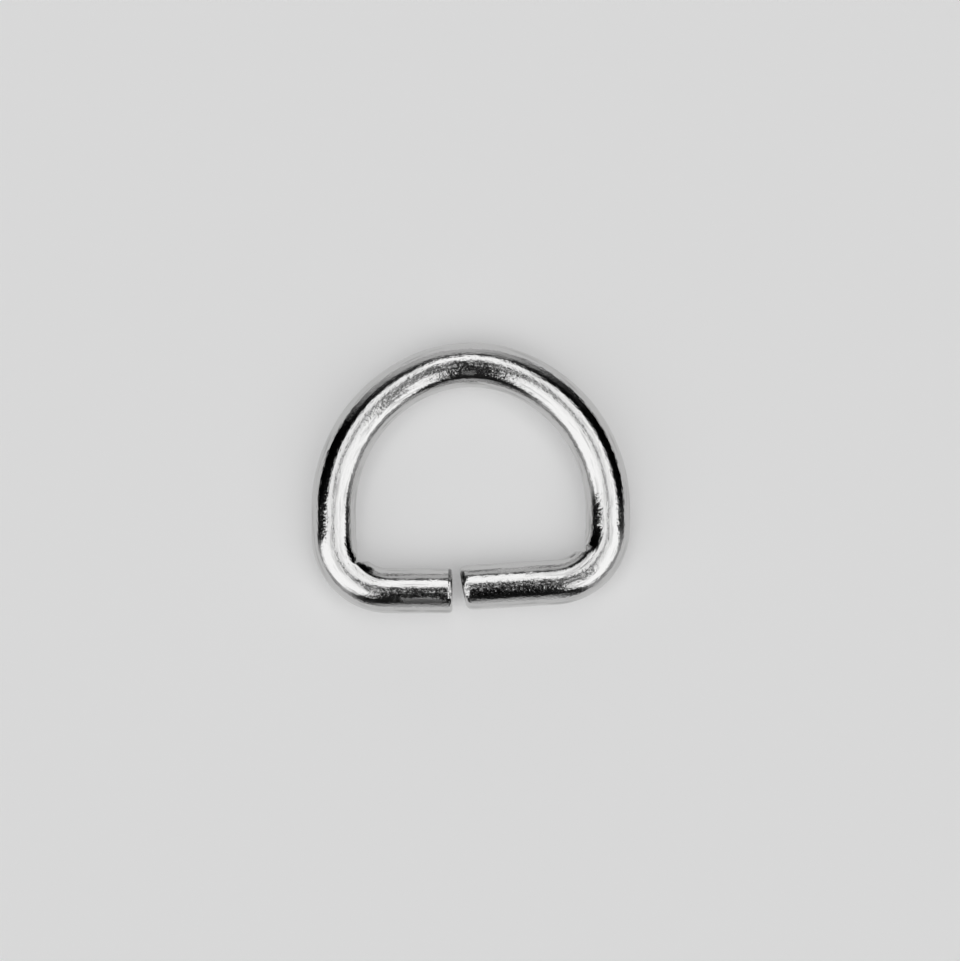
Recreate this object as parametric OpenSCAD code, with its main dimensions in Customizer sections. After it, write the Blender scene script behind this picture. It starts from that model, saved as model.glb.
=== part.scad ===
// D ring for a strap: one round wire bent to a D, its two cut ends facing each
// other across a narrow gap in the straight bar. It lies flat, with the bar along
// X at the front and the arch at the back.

/* [Wire] */
// Diameter of the round wire
wire_d = 3.9; // [2:0.1:5]
// Rounding of the rim where the left end is cut
left_rim_r = 0.35; // [0.1:0.05:0.9]
// Rounding of the rim where the right end is cut, more worn than the left one
right_rim_r = 0.7; // [0.1:0.05:0.9]

/* [Ring] */
// Clear width between the two sides, which is the width of strap that it takes
inside_w = 20; // [14:0.5:40]
// Straight length of the left side between its bend and the arch
side_len = 2.9; // [1.5:0.1:20]
// Inside radius of the bend at the left end of the bar
left_bend_r = 2.9; // [1:0.1:4]
// Inside radius of the bend at the right end of the bar, a little wider
right_bend_r = 3.4; // [1:0.1:4]

/* [Bar] */
// Gap between the two cut ends
gap_w = 0.7; // [0.1:0.1:2]
// How far left of the middle the left end is cut
left_end_x = 1.6; // [0:0.1:3]
// How much nearer the arch the right half of the bar lies than the left half
right_half_rise = 0.4; // [0:0.1:0.6]

/* [Hidden] */
$fn = 96;

wire_r = wire_d / 2;
quarter = 90;

// The wire's middle line, seen from above with the left half of the bar at y = 0
side_x = inside_w / 2 + wire_r;
left_bend_mid_r = left_bend_r + wire_r;
right_bend_mid_r = right_bend_r + wire_r;
left_bend_y = left_bend_mid_r;
right_bend_y = right_half_rise + right_bend_mid_r;
arch_y = left_bend_y + side_len;

// Straight lengths from each bend to its cut end
left_bar_len = side_x - left_bend_mid_r - left_end_x;
right_bar_len = side_x - right_bend_mid_r + left_end_x - gap_w;

// Middle of the ring's depth, from the front of the bar to the back of the crown
middle_y = (arch_y + side_x) / 2;

// Straight length of wire along Y
module side(x, y, length) {
    translate([x, y, 0])
        rotate([-quarter, 0, 0])
            cylinder(r = wire_r, h = length);
}

// Bent length of wire about a centre, from one direction through an angle
module bend(x, y, mid_r, from, angle) {
    translate([x, y, 0])
        rotate([0, 0, from])
            rotate_extrude(angle = angle)
                translate([mid_r, 0])
                    circle(r = wire_r);
}

// Straight length of wire along X that ends in a cut face with a rounded rim
module cut_length(x, y, length, rim_r) {
    translate([x, y, 0])
        rotate([0, quarter, 0])
            rotate_extrude() {
                square([wire_r, length - rim_r]);
                square([wire_r - rim_r, length]);
                translate([wire_r - rim_r, length - rim_r])
                    intersection() {
                        circle(r = rim_r);
                        square(rim_r);
                    }
            }
}

module left_half_of_bar() {
    cut_length(left_bend_mid_r - side_x, 0, left_bar_len, left_rim_r);
}

module right_half_of_bar() {
    mirror([1, 0, 0])
        cut_length(right_bend_mid_r - side_x, right_half_rise, right_bar_len, right_rim_r);
}

module left_side() {
    bend(left_bend_mid_r - side_x, left_bend_y, left_bend_mid_r, 2 * quarter, quarter);
    side(-side_x, left_bend_y, arch_y - left_bend_y);
}

module right_side() {
    bend(side_x - right_bend_mid_r, right_bend_y, right_bend_mid_r, -quarter, quarter);
    side(side_x, right_bend_y, arch_y - right_bend_y);
}

module arch() {
    bend(0, arch_y, side_x, 0, 2 * quarter);
}

module d_ring() {
    color("silver")
        translate([0, -middle_y, wire_r]) {
            left_half_of_bar();
            left_side();
            arch();
            right_side();
            right_half_of_bar();
        }
}

d_ring();
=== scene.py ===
import math
import bpy
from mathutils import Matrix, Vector
from mathutils.kdtree import KDTree


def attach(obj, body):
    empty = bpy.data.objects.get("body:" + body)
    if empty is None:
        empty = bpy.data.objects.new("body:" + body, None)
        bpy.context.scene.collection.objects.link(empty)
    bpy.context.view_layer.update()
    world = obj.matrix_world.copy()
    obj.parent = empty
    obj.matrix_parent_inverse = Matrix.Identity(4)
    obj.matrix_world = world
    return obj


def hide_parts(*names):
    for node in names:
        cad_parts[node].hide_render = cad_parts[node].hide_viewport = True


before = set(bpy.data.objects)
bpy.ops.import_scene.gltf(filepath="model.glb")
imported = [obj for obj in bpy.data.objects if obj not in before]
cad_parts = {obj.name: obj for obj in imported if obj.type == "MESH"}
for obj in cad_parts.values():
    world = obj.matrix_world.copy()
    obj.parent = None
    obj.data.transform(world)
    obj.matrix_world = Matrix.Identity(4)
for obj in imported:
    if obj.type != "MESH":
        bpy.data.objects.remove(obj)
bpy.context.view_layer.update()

# The ring: one length of round steel wire, drawn, cut off, bent round a former to a D and
# nickel plated. Its two cut ends meet in the straight bar with an open butt gap.
# Lengths are in millimetres here and turned to metres where they go into the mesh.
mm = 0.001
wire_r = 1.95
facets = 96

# Places on the wire's middle line, seen from above. The last length at each cut end is made in
# one step, so that its rim has room to be rounded.
left_bar_y = -9.85
left_end_x = -1.6
left_last = 0.8
left_rim = 0.55
left_bend = (-7.1, -5.0)
bend_r = 4.85
spring_y = -2.7
shoulder_x = 0.77
shoulder_r = 12.72
shoulder_angle = 65.0
crown_r = shoulder_r - shoulder_x / math.cos(math.radians(shoulder_angle))
crown_y = spring_y + (shoulder_r - crown_r) * math.sin(math.radians(shoulder_angle))
right_bend = (7.1, -4.255)
right_angle = 86.5
right_end_x = -0.74
right_last = 1.4
right_rim = 0.95
right_cut = -7.0
rim_profile = 0.68

bpy.ops.object.select_all(action="DESELECT")
bpy.ops.mesh.primitive_circle_add(
    vertices=facets, radius=wire_r * mm, fill_type="NOTHING",
    location=(left_end_x * mm, left_bar_y * mm, wire_r * mm),
    rotation=(0.0, math.radians(90.0), 0.0))
ring = bpy.context.object
ring.name = "wire_ring"
bpy.ops.object.transform_apply(location=True, rotation=True, scale=True)
bpy.ops.object.mode_set(mode="EDIT")
bpy.ops.mesh.select_mode(type="EDGE")
bpy.ops.mesh.select_all(action="SELECT")

middle_line = []


def draw_wire(dx, dy, steps, points=50):
    """Runs the open end of the wire straight on, in equal steps, and notes its middle line."""
    for _ in range(steps):
        bpy.ops.mesh.extrude_edges_move(
            TRANSFORM_OT_translate={"value": (dx * mm / steps, dy * mm / steps, 0.0)})
    x, y = middle_line[-1]
    for k in range(1, points + 1):
        middle_line.append((x + dx * k / points, y + dy * k / points))


def bend_wire(centre, angle, steps, points=200):
    """Bends the open end of the wire round a former, seen from above. Spin turns the other way."""
    bpy.ops.mesh.spin(
        steps=steps, angle=math.radians(-angle), use_auto_merge=False,
        center=(centre[0] * mm, centre[1] * mm, wire_r * mm), axis=(0.0, 0.0, 1.0))
    x, y = middle_line[-1][0] - centre[0], middle_line[-1][1] - centre[1]
    for k in range(1, points + 1):
        a = math.radians(angle * k / points)
        middle_line.append((centre[0] + x * math.cos(a) - y * math.sin(a),
                            centre[1] + x * math.sin(a) + y * math.cos(a)))


middle_line.append((left_end_x, left_bar_y))
draw_wire(-left_last, 0.0, 1)
draw_wire(left_bend[0] - left_end_x + left_last, 0.0, 40)
bend_wire(left_bend, -90.0, 44)
draw_wire(0.0, spring_y - left_bend[1], 12)
bend_wire((shoulder_x, spring_y), -shoulder_angle, 72)
bend_wire((0.0, crown_y), 2.0 * (shoulder_angle - 90.0), 48)
bend_wire((-shoulder_x, spring_y), -shoulder_angle, 72)
draw_wire(0.0, right_bend[1] - spring_y, 8)
bend_wire(right_bend, -right_angle, 44)
tilt = math.radians(90.0 - right_angle)
half_bar = right_bend[0] + bend_r * math.sin(tilt) - right_end_x
draw_wire(right_last - half_bar, (right_last - half_bar) * math.tan(tilt), 60)
draw_wire(-right_last, -right_last * math.tan(tilt), 1)

# The right end is cut a little askew, the left end square, and both rims are rounded over
right_end = Vector((middle_line[-1][0], middle_line[-1][1], wire_r)) * mm
bpy.ops.transform.rotate(
    value=math.radians(right_cut), orient_axis="Z", orient_type="GLOBAL",
    center_override=right_end)
bpy.ops.mesh.edge_face_add()
bpy.ops.mesh.bevel(offset=right_rim * mm, segments=14, profile=rim_profile, affect="EDGES")

bpy.ops.mesh.select_all(action="DESELECT")
bpy.ops.object.mode_set(mode="OBJECT")
close = 0.001
for edge in ring.data.edges:
    ends = [ring.data.vertices[v].co / mm for v in edge.vertices]
    edge.select = all(abs(p.x - left_end_x) < close and abs(p.y - left_bar_y) < wire_r + close
                      for p in ends)
bpy.ops.object.mode_set(mode="EDIT")
bpy.ops.mesh.edge_face_add()
bpy.ops.mesh.bevel(offset=left_rim * mm, segments=10, profile=rim_profile, affect="EDGES")
bpy.ops.mesh.select_all(action="SELECT")
bpy.ops.mesh.remove_doubles(threshold=0.000001)
bpy.ops.mesh.normals_make_consistent(inside=False)
bpy.ops.object.mode_set(mode="OBJECT")

# The former's two front corners were pressed into the inside of the bends. Each is a block
# here, which is taken away from the wire: where its corner lies, and to which side it reaches.
former_corners = ((-9.94, -7.29, 1.0), (9.98, -6.43, -1.0))
former_half = 1.0
former_height = 6.0
former_edge = 0.22
for corner_x, corner_y, side in former_corners:
    bpy.ops.object.select_all(action="DESELECT")
    bpy.ops.mesh.primitive_cube_add(
        size=1.0, location=((corner_x + side * former_half) * mm,
                            (corner_y + former_half) * mm, wire_r * mm))
    former = bpy.context.object
    former.scale = (2.0 * former_half * mm, 2.0 * former_half * mm, former_height * mm)
    bpy.ops.object.transform_apply(location=True, rotation=True, scale=True)
    bpy.ops.object.mode_set(mode="EDIT")
    bpy.ops.mesh.select_all(action="SELECT")
    bpy.ops.mesh.bevel(offset=former_edge * mm, segments=8, affect="EDGES")
    bpy.ops.object.mode_set(mode="OBJECT")
    bpy.ops.object.select_all(action="DESELECT")
    ring.select_set(True)
    bpy.context.view_layer.objects.active = ring
    press = ring.modifiers.new("former_corner", "BOOLEAN")
    press.operation = "DIFFERENCE"
    press.object = former
    bpy.ops.object.modifier_apply(modifier=press.name)
    bpy.data.objects.remove(former)
bpy.ops.object.shade_smooth_by_angle(angle=math.radians(20.0))

# Where each point lies along the wire from the left cut end, outwards from its middle line and
# above it, in metres, so that the draw lines follow the bends
nearest = KDTree(len(middle_line))
run = [0.0]
for k, (x, y) in enumerate(middle_line):
    nearest.insert(Vector((x, y, 0.0)), k)
    if k:
        run.append(run[-1] + math.dist((x, y), middle_line[k - 1]))
nearest.balance()
length = run[-1]
place = ring.data.attributes.new("wire_place", "FLOAT_VECTOR", "POINT")
for vertex in ring.data.vertices:
    p = vertex.co / mm
    _, k, _ = nearest.find(Vector((p.x, p.y, 0.0)))
    a, b = middle_line[max(k - 1, 0)], middle_line[min(k + 1, len(middle_line) - 1)]
    along = Vector((b[0] - a[0], b[1] - a[1])).normalized()
    outwards = Vector((-along.y, along.x))
    off = Vector((p.x - middle_line[k][0], p.y - middle_line[k][1]))
    place.data[vertex.index].vector = Vector((
        run[k] + off.dot(along), off.dot(outwards), p.z - wire_r)) * mm

plating = bpy.data.materials.new("bright_nickel_plate")
plating.use_nodes = True
nodes, links = plating.node_tree.nodes, plating.node_tree.links
shader = nodes["Principled BSDF"]
shader.inputs["Metallic"].default_value = 1.0
ring.data.materials.append(plating)


def figure(kind, *values):
    """One step of arithmetic in the node tree that is being built."""
    node = nodes.new("ShaderNodeMath")
    node.operation = kind
    for socket, value in zip(node.inputs, values):
        if isinstance(value, (int, float)):
            socket.default_value = value
        else:
            links.new(value, socket)
    return node.outputs[0]


def soft_edge(value, start, end, low=0.0, high=1.0):
    """Goes softly from low to high while the value goes from start to end."""
    node = nodes.new("ShaderNodeMapRange")
    node.interpolation_type = "SMOOTHSTEP"
    links.new(value, node.inputs["Value"])
    for name, number in (("From Min", start), ("From Max", end),
                         ("To Min", low), ("To Max", high)):
        node.inputs[name].default_value = number
    return node.outputs["Result"]


def ramp(value, stops):
    """Reads a tone for a value from 0 to 1 off a list of such values and the tones there."""
    node = nodes.new("ShaderNodeValToRGB")
    links.new(value, node.inputs["Fac"])
    elements = node.color_ramp.elements
    for k, (position, tone) in enumerate(stops):
        stop = elements[k] if k < 2 else elements.new(1.0)
        stop.position = position
        stop.color = (tone, tone, tone, 1.0)
    return node.outputs["Color"]


def cloud(where, scale, detail, rough=0.5):
    """Soft random relief of one size, from 0 to 1."""
    node = nodes.new("ShaderNodeTexNoise")
    node.inputs["Scale"].default_value = scale
    node.inputs["Detail"].default_value = detail
    node.inputs["Roughness"].default_value = rough
    links.new(where, node.inputs["Vector"])
    return node.outputs["Fac"]


on_ring = nodes.new("ShaderNodeTexCoord").outputs["Object"]
wire_place = nodes.new("ShaderNodeAttribute")
wire_place.attribute_name = "wire_place"
split_place = nodes.new("ShaderNodeSeparateXYZ")
links.new(wire_place.outputs["Vector"], split_place.inputs["Vector"])
place_along, place_out, place_up = split_place.outputs


def drawn_out(share):
    """The place on the wire, with everything along it drawn out to 1 / share of its length."""
    node = nodes.new("ShaderNodeMapping")
    node.inputs["Scale"].default_value = (share, 1.0, 1.0)
    links.new(wire_place.outputs["Vector"], node.inputs["Vector"])
    return node.outputs["Vector"]


# Heights in microns: the fine grain of the plating, short and long lines from the drawing die,
# small pits, and shallow mottling left by the bending
micron = 0.000001
grain = cloud(on_ring, scale=4500.0, detail=1.0)
short_lines = cloud(drawn_out(0.4), scale=4500.0, detail=2.0)
mottle = cloud(on_ring, scale=2600.0, detail=2.0)
cells = nodes.new("ShaderNodeTexVoronoi")
cells.inputs["Scale"].default_value = 7000.0
links.new(on_ring, cells.inputs["Vector"])
cell_kind = nodes.new("ShaderNodeSeparateColor")
links.new(cells.outputs["Color"], cell_kind.inputs["Color"])
pits = figure("MULTIPLY", soft_edge(cells.outputs["Distance"], 0.5, 0.1),
              soft_edge(cell_kind.outputs["Red"], 0.7, 1.0))
draw_lines = cloud(drawn_out(0.04), scale=6000.0, detail=3.0, rough=0.6)
height = figure("MULTIPLY", grain, 6.5)
for marks, most in ((short_lines, 18.0), (pits, -3.0), (draw_lines, 6.0), (mottle, 1.2)):
    height = figure("ADD", height, figure("MULTIPLY", marks, most))

# The former pressed the wire's inner side flatter, most of all in the bends next to its corners:
# share of the wire's length from the left end, and microns
deepest = 250.0
pressed = ramp(figure("DIVIDE", place_along, length * mm), [
    (share, amount / deepest) for share, amount in (
        (0.0, 62), (0.07, 62), (0.105, 150), (0.128, 210), (0.136, 210), (0.142, 75),
        (0.16, 100), (0.34, 95), (0.44, 95), (0.54, 95), (0.63, 40), (0.74, 0), (0.814, 10),
        (0.822, 140), (0.855, 140), (0.89, 62))])
flatter = figure("MULTIPLY", figure("MULTIPLY", pressed, deepest),
                 soft_edge(place_out, -0.55 * mm, -1.35 * mm))
height = figure("ADD", height, flatter)

# The shears raised a slight burr along the upper part of both rims
burr_height = 130.0
for start, end, out_from, out_to in (
        (0.42, -0.05, -1.6, -0.8), (length - 0.5, length + 0.05, -1.0, -0.3)):
    burr = figure("MULTIPLY", soft_edge(place_along, start * mm, end * mm),
                  soft_edge(place_out, out_from * mm, out_to * mm))
    burr = figure("MULTIPLY", burr, soft_edge(place_out, 1.3 * mm, 0.5 * mm))
    height = figure("ADD", height, figure("MULTIPLY", burr, burr_height))
relief = nodes.new("ShaderNodeBump")
relief.inputs["Strength"].default_value = 1.0
relief.inputs["Distance"].default_value = micron
links.new(height, relief.inputs["Height"])
links.new(relief.outputs["Normal"], shader.inputs["Normal"])


def spot(along, out, long, wide, ragged):
    """An oval place on the wire's upper side, 1 inside it and 0 outside; sizes in millimetres."""
    a = figure("DIVIDE", figure("SUBTRACT", place_along, along * mm), long * mm)
    b = figure("DIVIDE", figure("SUBTRACT", place_out, out * mm), wide * mm)
    a, b = figure("MULTIPLY", a, a), figure("MULTIPLY", b, b)
    a, b = figure("MULTIPLY", a, a), figure("MULTIPLY", b, b)
    far = figure("SQRT", figure("SQRT", figure("ADD", a, b)))
    far = figure("ADD", far, figure("MULTIPLY", figure("SUBTRACT", mottle, 0.5), ragged))
    return figure("MULTIPLY", soft_edge(far, 1.4, 0.6), soft_edge(place_up, -0.3 * mm, 0.1 * mm))


# Scuffed dull: a strip along the front of the left half bar, a patch under the crown, and a
# nick next to the right cut end
bright, dull = 0.1, 0.3
crown_along = 34.6
scuff = figure("MAXIMUM", spot(2.65, 0.79, 2.0, 0.29, ragged=1.2),
               figure("MULTIPLY", spot(crown_along, -0.76, 0.6, 0.26, ragged=2.2), 0.5))
nick = figure("MULTIPLY", spot(length - 1.6, 0.05, 0.14, 0.3, ragged=2.6), 0.6)
links.new(soft_edge(figure("MAXIMUM", scuff, nick), 0.0, 1.0, bright, dull),
          shader.inputs["Roughness"])

# Painted shade in the left pressed corner, a dark dash in the right one, painted dark reflections
# at both cut rims, and dark residue a little in the scuffs and in streaks along the wire
# Painted shade: a black patch in the corner that the left former corner pressed
residue_and_painted_shade = spot(8.45, -1.42, 0.8, 0.24, ragged=1.5)
# The first two are painted dark reflections at the cut rims; the last is the dark dash in the
# right corner
for along, out, long, wide, much in (
        (0.22, -1.65, 0.14, 0.5, 0.7), (length - 0.12, -1.15, 0.16, 0.4, 0.85),
        (length - 10.85, -1.78, 0.45, 0.07, 0.6)):
    patch = spot(along, out, long, wide, ragged=0.8)
    residue_and_painted_shade = figure("MAXIMUM", residue_and_painted_shade, figure("MULTIPLY", patch, much))
residue_and_painted_shade = figure("MAXIMUM", residue_and_painted_shade, figure("MULTIPLY", scuff, 0.3))
streaks = soft_edge(cloud(drawn_out(0.12), scale=2600.0, detail=3.0), 0.5, 0.72, high=0.28)
residue_and_painted_shade = figure("MAXIMUM", residue_and_painted_shade, streaks)

# Tarnish in the grain, on top of both half bars and of the crown
tarnish = soft_edge(grain, 0.4, 0.6, high=0.85)
for along, out, long, wide in (
        (2.9, 0.02, 3.2, 0.4), (length - 4.3, 0.2, 4.2, 0.6), (crown_along, 0.04, 1.7, 0.36)):
    patch = spot(along, out, long, wide, ragged=1.0)
    residue_and_painted_shade = figure("MAXIMUM", residue_and_painted_shade, figure("MULTIPLY", patch, tarnish))
# The nickel goes towards black with the residue and tarnish and with the painted shade and dark
# reflections
stain_and_painted_shade = nodes.new("ShaderNodeMix")
stain_and_painted_shade.data_type = "RGBA"
stain_and_painted_shade.inputs["A"].default_value = (0.66, 0.658, 0.655, 1.0)
stain_and_painted_shade.inputs["B"].default_value = (0.006, 0.006, 0.006, 1.0)
links.new(residue_and_painted_shade, stain_and_painted_shade.inputs["Factor"])
links.new(stain_and_painted_shade.outputs["Result"], shader.inputs["Base Color"])

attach(ring, "root")
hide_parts("d_ring")

# The surface that the ring lies on: a plain pale table, matt and evenly lit.
# It is large, so that the wire's rims mirror it out to the horizon.
table_size = 6.0
bpy.ops.object.select_all(action="DESELECT")
bpy.ops.mesh.primitive_grid_add(
    x_subdivisions=8, y_subdivisions=8, size=table_size, location=(0.0, 0.0, 0.0))
table = bpy.context.object
table.name = "pale_table"
bpy.ops.object.transform_apply(location=True, rotation=True, scale=True)
matt = bpy.data.materials.new("matt_pale_table")
matt.use_nodes = True
nodes, links = matt.node_tree.nodes, matt.node_tree.links
shader = nodes["Principled BSDF"]
shader.inputs["Base Color"].default_value = (0.72, 0.72, 0.72, 1.0)
shader.inputs["Emission Color"].default_value = (1.0, 1.0, 1.0, 1.0)
shader.inputs["Emission Strength"].default_value = 0.215
shader.inputs["Roughness"].default_value = 0.9
shader.inputs["Specular IOR Level"].default_value = 0.0
table.data.materials.append(matt)

# The studio: a wide soft light overhead, which reaches lowest at the front left and the front
# right. Below it the room is pale at the back and the front and dark to both sides. A dark
# gap and a dull seam run through the light to the front.
world = bpy.data.worlds.new("soft_studio")
bpy.context.scene.world = world
world.use_nodes = True
nodes, links = world.node_tree.nodes, world.node_tree.links
nodes.clear()
to_degrees = math.degrees(1.0)


def fade(amount, far, near):
    """Mixes two brightnesses: far where the amount is 0, near where it is 1."""
    return figure("ADD", figure("MULTIPLY", near, amount),
                  figure("MULTIPLY", far, figure("SUBTRACT", 1.0, amount)))


direction = nodes.new("ShaderNodeTexCoord").outputs["Generated"]
parts = nodes.new("ShaderNodeSeparateXYZ")
links.new(direction, parts.inputs["Vector"])
right, back, up = parts.outputs
from_top = figure("MULTIPLY", figure("ARCCOSINE", up), to_degrees)
round_about = figure("MULTIPLY", figure("ARCTAN2", back, right), to_degrees)
turn = figure("FRACT", figure("ADD", figure("DIVIDE", round_about, 360.0), 1.0))

# How far down the soft light reaches, and how bright the room is below it, round the ring:
# azimuth from the right, anticlockwise; end of the light from overhead; brightness below
around = (
    (0, 50, 0.02), (5, 43, 0.0), (15, 39, 0.0), (35, 36, 0.0), (48, 34, 0.03), (57, 33, 0.12),
    (65, 35, 0.35), (74, 41, 0.55), (90, 49, 0.66), (104, 46, 0.66), (112, 38, 0.64),
    (122, 33, 0.6), (131, 31, 0.48), (139, 31, 0.2), (147, 30, 0.0), (175, 28, 0.0),
    (181, 33, 0.0), (185, 58, 0.06), (190, 72, 0.4), (195, 77, 0.5), (233, 71, 0.5),
    (242, 64, 0.1), (250, 45, 0.02), (260, 55, 0.4), (274, 60, 0.66), (283, 52, 0.25),
    (290, 46, 0.02), (297, 57, 0.05), (304, 70, 0.45), (340, 70, 0.45), (350, 63, 0.25),
    (360, 50, 0.02))
reach = ramp(turn, [(azimuth / 360.0, end / 90.0) for azimuth, end, _ in around])
below = ramp(turn, [(azimuth / 360.0, tone) for azimuth, _, tone in around])
down = figure("SUBTRACT", from_top, figure("MULTIPLY", reach, 90.0))
panel = soft_edge(from_top, 8.0, 35.0, low=1.35, high=1.7)
room = figure("MULTIPLY", below, soft_edge(from_top, 53.0, 67.0, low=0.05))
light = fade(soft_edge(down, -4.0, 4.0), panel, room)

# The dark gap: a slit overhead that widens to the front, a little more to the left than to the
# right. Its back end is forked, and the light nearly bridges it just in front of overhead.
gap_tone = 0.012
half_width = ramp(figure("DIVIDE", from_top, 90.0), [
    (fall / 90.0, half) for fall, half in (
        (0, 0.065), (12, 0.07), (20, 0.08), (30, 0.115), (40, 0.17), (50, 0.24), (60, 0.36),
        (70, 0.45))])
aside = figure("MAXIMUM", figure("MULTIPLY", right, 1.15), figure("MULTIPLY", right, -0.88))
front = figure("MULTIPLY", back, -1.0)
gap = soft_edge(figure("DIVIDE", aside, half_width), 1.5, 0.85)
fork = figure("ADD", front, figure("MULTIPLY", figure("MINIMUM", aside, 0.02), 12.0))
gap = figure("MULTIPLY", gap, soft_edge(fork, -0.17, -0.05))
from_bridge = figure("ABSOLUTE", figure("SUBTRACT", front, 0.014))
gap = figure("MULTIPLY", gap, soft_edge(from_bridge, 0.0, 0.065, low=0.15))
gap = figure("MULTIPLY", gap, soft_edge(from_top, 78.0, 62.0))
light = fade(gap, light, gap_tone)

# The seam of the front right panel, seen as a dull streak that runs out from overhead
seam_tone = 0.15
from_seam = figure("ABSOLUTE", figure("ADD", right, figure(
    "MULTIPLY", figure("ADD", back, 0.08), 1.03)))
seam = figure("MULTIPLY", soft_edge(from_seam, 0.1, 0.03), soft_edge(front, 0.04, 0.1))
seam = figure("MULTIPLY", seam, soft_edge(from_top, 42.0, 28.0))
light = fade(figure("MULTIPLY", seam, 0.95), light, seam_tone)

# The camera sees plain grey past the table's edge, and all the rest is lit by the studio
glow = nodes.new("ShaderNodeBackground")
links.new(light, glow.inputs["Strength"])
plain = nodes.new("ShaderNodeBackground")
plain.inputs["Color"].default_value = (0.69, 0.69, 0.69, 1.0)
seen = nodes.new("ShaderNodeLightPath")
either = nodes.new("ShaderNodeMixShader")
out = nodes.new("ShaderNodeOutputWorld")
links.new(seen.outputs["Is Camera Ray"], either.inputs["Fac"])
links.new(glow.outputs["Background"], either.inputs[1])
links.new(plain.outputs["Background"], either.inputs[2])
links.new(either.outputs["Shader"], out.inputs["Surface"])
bpy.context.scene.view_settings.view_transform = "Standard"

# The camera: on a stand straight above the ring, with a long lens, looking down.
# The ring sits a little up and left in the frame.
camera_x = 0.794
camera_y = -0.223
camera_above_wire = 232.8
bpy.ops.object.camera_add(
    location=(camera_x * mm, camera_y * mm, (wire_r + camera_above_wire) * mm),
    rotation=(0.0, 0.0, 0.0))
camera = bpy.context.object
camera.name = "camera"
camera.data.lens = 100.0
camera.data.sensor_width = 36.0
camera.data.clip_start = 0.01
camera.data.clip_end = 20.0
bpy.context.scene.camera = camera
